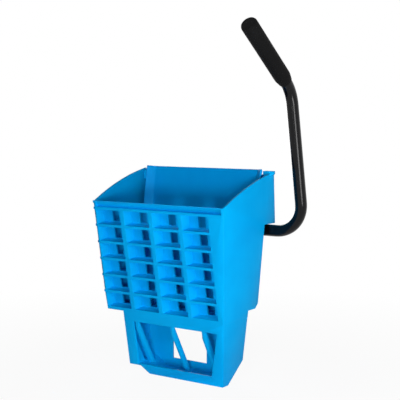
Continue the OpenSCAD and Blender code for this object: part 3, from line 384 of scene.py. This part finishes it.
def makeMoulding(pieceName, s):
    piece = mergedCopy(s["node"], pieceName)
    count = pickEdges(piece, lambda edge: (
        len(edge.link_faces) == 2
        and edge.calc_length() > s["shortest"]
        and edge.calc_face_angle(0) > math.radians(s["sharp"])
        and max(abs(vert.co.z - easeSet["seamHeight"]) for vert in edge.verts) > easeSet["seamReach"]
    ))
    bpy.ops.mesh.bevel(
        offset=s["ease"], segments=easeSet["segments"], affect="EDGES", clamp_overlap=False, profile=0.5,
    )
    bpy.ops.mesh.select_all(action="SELECT")
    bpy.ops.mesh.dissolve_degenerate(threshold=easeSet["sliver"])
    dropFlaps(piece)
    closeMesh()
    smoothBy(piece, easeSet["smooth"])
    finishPiece(piece, s["body"], s["node"], nodes[s["node"]].data.materials[0])
    print(pieceName, "eased", count, "edges,", len(piece.data.polygons), "faces")


for pieceName, setting in mouldings.items():
    makeMoulding(pieceName, setting)

# handle: one bent tube, drawn along its path
handleSet = {
    "shaft": (0.07905, 0.28547), "radius": 0.0111, "sides": 40,
    "uprightX": 0.217, "lowBend": 0.058, "lowSteps": 18, "lean": 11.2,
    "uprightLength": 0.266, "topBend": 0.068, "topSteps": 10, "gripLean": 54,
    "smooth": 50,
}


def leaning(degrees):  # unit vector up the handle, leaning to the front
    return Vector((0, -math.sin(math.radians(degrees)), math.cos(math.radians(degrees))))


def pushOut(step):
    bpy.ops.mesh.extrude_region_move(TRANSFORM_OT_translate={"value": tuple(step)})


def makeHandle(s):
    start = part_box("handle_tube")[0][0]
    up = leaning(s["lean"])
    out = leaning(s["gripLean"])
    turn = math.radians(s["gripLean"] - s["lean"])
    tangent = s["topBend"] * math.tan(turn / 2)
    bendX = s["uprightX"] - s["lowBend"]
    shaft = Vector((0, *s["shaft"]))
    bpy.ops.object.select_all(action="DESELECT")
    bpy.ops.mesh.primitive_circle_add(
        vertices=s["sides"], radius=s["radius"],
        location=(start, *s["shaft"]), rotation=(0, math.pi / 2, 0),
    )
    tube = bpy.context.object
    tube.name = tube.data.name = "handleBar"
    settle(tube)
    openMesh(tube)
    bpy.ops.mesh.select_all(action="SELECT")
    pushOut((bendX - start, 0, 0))
    low = Vector((bendX, 0, 0)) + shaft + s["lowBend"] * up
    bpy.ops.mesh.spin(
        steps=s["lowSteps"], angle=-math.pi / 2, center=low, axis=Vector((1, 0, 0)).cross(up),
    )
    straight = s["uprightLength"] - s["lowBend"] - tangent
    pushOut(straight * up)
    corner = Vector((s["uprightX"], 0, 0)) + shaft + (s["uprightLength"] - tangent) * up
    high = corner + s["topBend"] * Vector((1, 0, 0)).cross(up)
    bpy.ops.mesh.spin(steps=s["topSteps"], angle=-turn, center=high, axis=(1, 0, 0))
    bpy.ops.mesh.select_all(action="SELECT")
    bpy.ops.mesh.remove_doubles(threshold=mergeReach)
    bpy.ops.mesh.fill_holes(sides=s["sides"])  # both ends, out of sight behind the plug and in the grip
    bpy.ops.mesh.select_all(action="SELECT")
    bpy.ops.mesh.normals_make_consistent(inside=False)
    closeMesh()
    smoothBy(tube, s["smooth"])
    finishPiece(tube, "handle", "handle_tube", finishes["black_tube"])
    print("handle drawn,", len(tube.data.polygons), "faces")
    return corner + tangent * up + tangent * out, out


gripStart, gripWay = makeHandle(handleSet)

# hand grip: a sleeve drawn ring by ring, each ring's distance along it and its radius
sleeveSet = {
    "sides": 48, "smooth": 40,
    "rings": [
        (0.0, 0.0112), (0.0, 0.0122), (0.0006, 0.0125), (0.013, 0.01485), (0.016, 0.015),
        (0.05, 0.0149), (0.1, 0.0149), (0.1495, 0.015), (0.1518, 0.0147), (0.1540, 0.0137),
        (0.1551, 0.0120), (0.15535, 0.0105),
    ],
}


def makeSleeve(s, start, way):
    bpy.ops.object.select_all(action="DESELECT")
    first, radius = s["rings"][0]
    bpy.ops.mesh.primitive_circle_add(vertices=s["sides"], radius=radius, location=(0, 0, 0))
    sleeve = bpy.context.object
    sleeve.name = sleeve.data.name = "gripSleeve"
    openMesh(sleeve)
    bpy.ops.mesh.select_all(action="SELECT")
    for height, wide in s["rings"][1:]:
        pushOut((0, 0, height - first))
        bpy.ops.transform.resize(value=(wide / radius, wide / radius, 1), center_override=(0, 0, height))
        first, radius = height, wide
    bpy.ops.mesh.select_all(action="SELECT")
    bpy.ops.mesh.fill_holes(sides=s["sides"])
    bpy.ops.mesh.select_all(action="SELECT")
    bpy.ops.mesh.normals_make_consistent(inside=False)
    closeMesh()
    sleeve.location = start
    sleeve.rotation_euler = way.to_track_quat("Z", "Y").to_euler()
    settle(sleeve)
    smoothBy(sleeve, s["smooth"])
    finishPiece(sleeve, "handle", "hand_grip", finishes["grip"])
    print("grip drawn,", len(sleeve.data.polygons), "faces")


makeSleeve(sleeveSet, gripStart, gripWay)

# screws with domed heads and cross recesses
screwSet = {
    "nodes": {
        "standScrewHeads": "stand_screws",
        "coverScrewHeads": "cover_screws",
        "bearingScrewHeads": "bearing_screws",
    },
    "headArea": 0.00006, "headSides": 12,  # a head's flat top has more than these
    "dome": 0.0012, "domeSteps": 3,
    "slot": (0.0011, 0.0052, 0.0014),
    "smooth": 40,
}


def makeRecessBar(s):  # one bar of the cross recess, which every head gets copies of
    wide, across, deep = s["slot"]
    bpy.ops.object.select_all(action="DESELECT")
    bpy.ops.mesh.primitive_cube_add(size=1, location=(0, 0, 0))
    bar = bpy.context.object
    bar.scale = (wide, across, 2 * deep)
    settle(bar)
    return bar


def placeBar(bar, centre, normal, quarter):
    copy = bpy.data.objects.new("recessBar", bar.data.copy())
    scene.collection.objects.link(copy)
    turn = normal.to_track_quat("Z", "Y") @ Quaternion((0, 0, 1), quarter * math.pi / 2)
    copy.location = centre
    copy.rotation_euler = turn.to_euler()
    settle(copy)
    return copy


def makeScrews(pieceName, nodeName, s):
    screws = mergedCopy(nodeName, pieceName)
    bpy.ops.mesh.dissolve_limited(angle_limit=math.radians(1))
    mesh = bmesh.from_edit_mesh(screws.data)
    tops = [
        face for face in mesh.faces
        if face.calc_area() > s["headArea"] and len(face.verts) > s["headSides"]
    ]
    heads = [(face.calc_center_median(), face.normal.copy()) for face in tops]
    rims = {edge.index for face in tops for edge in face.edges}
    pickEdges(screws, lambda edge: edge.index in rims)
    bpy.ops.mesh.bevel(
        offset=s["dome"], segments=s["domeSteps"], affect="EDGES", clamp_overlap=False, profile=0.5,
    )
    closeMesh()
    bar = makeRecessBar(s)
    for quarter in (0, 1):  # one bar of each cross at a time, so that a cutter never crosses itself
        group = [placeBar(bar, centre, normal, quarter) for centre, normal in heads]
        bpy.ops.object.select_all(action="DESELECT")
        for copy in group:
            copy.select_set(True)
        bpy.context.view_layer.objects.active = group[0]
        bpy.ops.object.join()
        onlySelect(screws)
        cut = screws.modifiers.new("recess", "BOOLEAN")
        cut.operation = "DIFFERENCE"
        cut.solver = "EXACT"
        cut.object = group[0]
        bpy.ops.object.modifier_apply(modifier=cut.name)
        bpy.data.objects.remove(group[0], do_unlink=True)
    bpy.data.objects.remove(bar, do_unlink=True)
    smoothBy(screws, s["smooth"])
    finishPiece(screws, "frame", nodeName, finishes["bare_steel"])
    print(pieceName, "with", len(heads), "heads,", len(screws.data.polygons), "faces")


for pieceName, nodeName in screwSet["nodes"].items():
    makeScrews(pieceName, nodeName, screwSet)

# floor, light and white surround
stageSet = {"floorSize": 12, "skyLight": 0.05, "white": (1, 1, 1, 1)}
lampSets = {
    "keyLamp": {"place": (2.19, -1.37, 0.62), "aim": (0, 0, 0.3), "size": (1.1, 1.1), "power": 12.5},
    "footLamp": {"place": (0.9, -1.55, 0.17), "aim": (0, 0, 0.25), "size": (0.3, 0.3), "power": 14.5},
    "overLamp": {"place": (0.75, -1.45, 1.2), "aim": (0, 0, 0.25), "size": (0.4, 0.4), "power": 6.5},
    "backLamp": {"place": (-1.75, 1.45, 0.8), "aim": (0, 0, 0.3), "size": (1.4, 1.4), "power": 26},
    "stripLamp": {
        "place": (0.811, -0.326, 0.185), "aim": (0.217, 0.045, 0.45), "size": (0.25, 0.29), "power": 2.4,
    },
}
bpy.ops.object.select_all(action="DESELECT")
bpy.ops.mesh.primitive_plane_add(size=stageSet["floorSize"], location=(0, 0, 0))
floor = bpy.context.object
floor.name = "studioFloor"


def makeFloorFinish():
    f = newFinish("paleFloor")
    tone = f.blend(f.noise(3, 2, 0.5) * 0.3, colour(246, 246, 246), colour(238, 238, 238))
    lit = f.add("ShaderNodeBsdfDiffuse", {}, {"Color": tone})
    white = f.add("ShaderNodeEmission", {}, {"Color": stageSet["white"], "Strength": 1.0})
    reach = f.add("ShaderNodeVectorMath", {"operation": "LENGTH"}, {0: f.place()}, "Value")
    bare = f.ramp(reach * 0.8, [(0.25, 0.93), (0.8, 1.0)])      # the shadow shows near the object only
    mixed = f.add("ShaderNodeMixShader", {}, {0: f.seenDirectly() * bare, 1: lit, 2: white})
    f.add("ShaderNodeOutputMaterial", {}, {"Surface": mixed})
    return f.owner


floor.data.materials.append(makeFloorFinish())

scene.world = bpy.data.worlds.new("studio")
sky = Finish(scene.world)
dim = sky.add("ShaderNodeBackground", {}, {"Color": stageSet["white"], "Strength": stageSet["skyLight"]})
bright = sky.add("ShaderNodeBackground", {}, {"Color": stageSet["white"], "Strength": 1.0})
both = sky.add("ShaderNodeMixShader", {}, {0: sky.seenDirectly(), 1: dim, 2: bright})
sky.add("ShaderNodeOutputWorld", {}, {"Surface": both})

for name, setting in lampSets.items():
    bpy.ops.object.light_add(type="AREA", location=setting["place"])
    lamp = bpy.context.object
    lamp.name = name
    lamp.data.shape = "RECTANGLE"
    lamp.data.size, lamp.data.size_y = setting["size"]
    lamp.data.energy = setting["power"]
    way = Vector(setting["aim"]) - Vector(setting["place"])
    lamp.rotation_euler = way.to_track_quat("-Z", "Y").to_euler()
print("stage lit")
